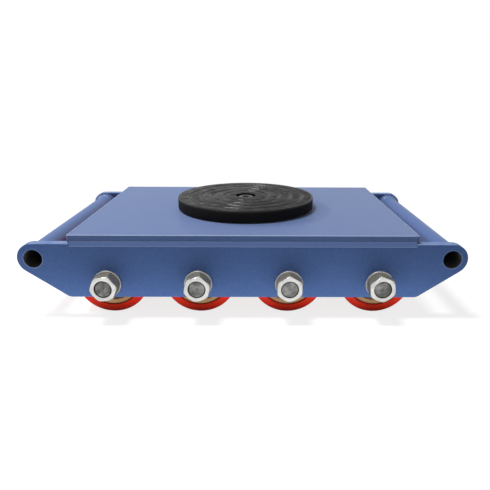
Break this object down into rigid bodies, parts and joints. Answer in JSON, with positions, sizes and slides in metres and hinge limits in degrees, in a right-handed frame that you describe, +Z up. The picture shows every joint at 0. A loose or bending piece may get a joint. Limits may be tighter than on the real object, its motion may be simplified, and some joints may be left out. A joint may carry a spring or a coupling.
{
  "type": "machine skate",
  "caption": "Low steel roller platform for moving machines, with polyurethane rollers on through axles, end tie tubes and a rubber-faced turntable on its deck.",
  "frame": {"origin": "on the floor under the middle of the deck", "axes": "+X along the skate from tie tube to tie tube, +Y across it to the rear, +Z up"},
  "size_m": [0.44, 0.282, 0.1],
  "materials": {
    "frame_paint": "semi-gloss blue enamel",
    "axle_steel": "turned",
    "bright_zinc": "bright zinc plate",
    "bearing_steel": "ground",
    "hub_zinc": "yellow zinc plate",
    "tyre_urethane": "smooth cast polyurethane",
    "turntable_steel": "black enamel",
    "pad_rubber": "moulded, slight sheen",
    "cage_brass": "stamped",
    "dark_screw": "black oxide"
  },
  "bodies": {
    "frame": {"side_plate_front": "frame_paint", "side_plate_rear": "frame_paint", "deck_plate": "frame_paint", "centre_rib": "frame_paint", "tie_tube_left": "frame_paint", "tie_tube_right": "frame_paint", "deck_welds": "frame_paint", "tube_welds": "frame_paint", "rib_welds": "frame_paint", "axles": "axle_steel", "axle_washers_front": "bright_zinc", "axle_washers_rear": "bright_zinc", "axle_nuts_front": "bright_zinc", "axle_nuts_rear": "bright_zinc", "end_spacers": "axle_steel", "distance_tubes": "axle_steel", "bearing_inner_rings": "bearing_steel", "lower_race": "bearing_steel", "pivot_screw": "dark_screw", "pivot_bush": "axle_steel", "pivot_retaining_washer": "dark_screw", "pivot_washer": "bright_zinc", "pivot_nut": "bright_zinc"},
    "turntable": {"turntable_plate": "turntable_steel", "grip_pad": "pad_rubber", "upper_race": "bearing_steel"},
    "thrust_bearing": {"thrust_cage": "cage_brass", "thrust_balls": "bearing_steel"},
    "roller_front_1": {"tyre_front_1": "tyre_urethane", "hub_front_1": "hub_zinc", "bearing_shells_front_1": "bearing_steel"},
    "ball_cage_front_1": {"bearing_balls_front_1": "bearing_steel"},
    "roller_front_2": {"tyre_front_2": "tyre_urethane", "hub_front_2": "hub_zinc", "bearing_shells_front_2": "bearing_steel"},
    "ball_cage_front_2": {"bearing_balls_front_2": "bearing_steel"},
    "roller_front_3": {"tyre_front_3": "tyre_urethane", "hub_front_3": "hub_zinc", "bearing_shells_front_3": "bearing_steel"},
    "ball_cage_front_3": {"bearing_balls_front_3": "bearing_steel"},
    "roller_front_4": {"tyre_front_4": "tyre_urethane", "hub_front_4": "hub_zinc", "bearing_shells_front_4": "bearing_steel"},
    "ball_cage_front_4": {"bearing_balls_front_4": "bearing_steel"},
    "roller_rear_1": {"tyre_rear_1": "tyre_urethane", "hub_rear_1": "hub_zinc", "bearing_shells_rear_1": "bearing_steel"},
    "ball_cage_rear_1": {"bearing_balls_rear_1": "bearing_steel"},
    "roller_rear_2": {"tyre_rear_2": "tyre_urethane", "hub_rear_2": "hub_zinc", "bearing_shells_rear_2": "bearing_steel"},
    "ball_cage_rear_2": {"bearing_balls_rear_2": "bearing_steel"},
    "roller_rear_3": {"tyre_rear_3": "tyre_urethane", "hub_rear_3": "hub_zinc", "bearing_shells_rear_3": "bearing_steel"},
    "ball_cage_rear_3": {"bearing_balls_rear_3": "bearing_steel"},
    "roller_rear_4": {"tyre_rear_4": "tyre_urethane", "hub_rear_4": "hub_zinc", "bearing_shells_rear_4": "bearing_steel"},
    "ball_cage_rear_4": {"bearing_balls_rear_4": "bearing_steel"}
  },
  "joints": [
    {"name": "turntable_swivel", "type": "hinge", "parent": "frame", "child": "turntable", "pos_m": [0, 0, 0.088], "axis": [0, 0, 1], "continuous": true},
    {"name": "thrust_bearing_turn", "type": "hinge", "parent": "frame", "child": "thrust_bearing", "pos_m": [0, 0, 0.087], "axis": [0, 0, 1], "continuous": true},
    {"name": "roller_front_1_spin", "type": "hinge", "parent": "frame", "child": "roller_front_1", "pos_m": [-0.1344, 0, 0.0375], "axis": [0, 1, 0], "continuous": true},
    {"name": "ball_cage_front_1_spin", "type": "hinge", "parent": "frame", "child": "ball_cage_front_1", "pos_m": [-0.1344, 0, 0.0375], "axis": [0, 1, 0], "continuous": true},
    {"name": "roller_front_2_spin", "type": "hinge", "parent": "frame", "child": "roller_front_2", "pos_m": [-0.0448, 0, 0.0375], "axis": [0, 1, 0], "continuous": true},
    {"name": "ball_cage_front_2_spin", "type": "hinge", "parent": "frame", "child": "ball_cage_front_2", "pos_m": [-0.0448, 0, 0.0375], "axis": [0, 1, 0], "continuous": true},
    {"name": "roller_front_3_spin", "type": "hinge", "parent": "frame", "child": "roller_front_3", "pos_m": [0.0448, 0, 0.0375], "axis": [0, 1, 0], "continuous": true},
    {"name": "ball_cage_front_3_spin", "type": "hinge", "parent": "frame", "child": "ball_cage_front_3", "pos_m": [0.0448, 0, 0.0375], "axis": [0, 1, 0], "continuous": true},
    {"name": "roller_front_4_spin", "type": "hinge", "parent": "frame", "child": "roller_front_4", "pos_m": [0.1344, 0, 0.0375], "axis": [0, 1, 0], "continuous": true},
    {"name": "ball_cage_front_4_spin", "type": "hinge", "parent": "frame", "child": "ball_cage_front_4", "pos_m": [0.1344, 0, 0.0375], "axis": [0, 1, 0], "continuous": true},
    {"name": "roller_rear_1_spin", "type": "hinge", "parent": "frame", "child": "roller_rear_1", "pos_m": [-0.1344, 0, 0.0375], "axis": [0, 1, 0], "continuous": true},
    {"name": "ball_cage_rear_1_spin", "type": "hinge", "parent": "frame", "child": "ball_cage_rear_1", "pos_m": [-0.1344, 0, 0.0375], "axis": [0, 1, 0], "continuous": true},
    {"name": "roller_rear_2_spin", "type": "hinge", "parent": "frame", "child": "roller_rear_2", "pos_m": [-0.0448, 0, 0.0375], "axis": [0, 1, 0], "continuous": true},
    {"name": "ball_cage_rear_2_spin", "type": "hinge", "parent": "frame", "child": "ball_cage_rear_2", "pos_m": [-0.0448, 0, 0.0375], "axis": [0, 1, 0], "continuous": true},
    {"name": "roller_rear_3_spin", "type": "hinge", "parent": "frame", "child": "roller_rear_3", "pos_m": [0.0448, 0, 0.0375], "axis": [0, 1, 0], "continuous": true},
    {"name": "ball_cage_rear_3_spin", "type": "hinge", "parent": "frame", "child": "ball_cage_rear_3", "pos_m": [0.0448, 0, 0.0375], "axis": [0, 1, 0], "continuous": true},
    {"name": "roller_rear_4_spin", "type": "hinge", "parent": "frame", "child": "roller_rear_4", "pos_m": [0.1344, 0, 0.0375], "axis": [0, 1, 0], "continuous": true},
    {"name": "ball_cage_rear_4_spin", "type": "hinge", "parent": "frame", "child": "ball_cage_rear_4", "pos_m": [0.1344, 0, 0.0375], "axis": [0, 1, 0], "continuous": true}
  ],
  "couplings": [
    {"joint": "thrust_bearing_turn", "follows": "turntable_swivel", "ratio": 0.5},
    {"joint": "ball_cage_front_1_spin", "follows": "roller_front_1_spin", "ratio": 0.61642},
    {"joint": "ball_cage_front_2_spin", "follows": "roller_front_2_spin", "ratio": 0.61642},
    {"joint": "ball_cage_front_3_spin", "follows": "roller_front_3_spin", "ratio": 0.61642},
    {"joint": "ball_cage_front_4_spin", "follows": "roller_front_4_spin", "ratio": 0.61642},
    {"joint": "ball_cage_rear_1_spin", "follows": "roller_rear_1_spin", "ratio": 0.61642},
    {"joint": "ball_cage_rear_2_spin", "follows": "roller_rear_2_spin", "ratio": 0.61642},
    {"joint": "ball_cage_rear_3_spin", "follows": "roller_rear_3_spin", "ratio": 0.61642},
    {"joint": "ball_cage_rear_4_spin", "follows": "roller_rear_4_spin", "ratio": 0.61642}
  ]
}
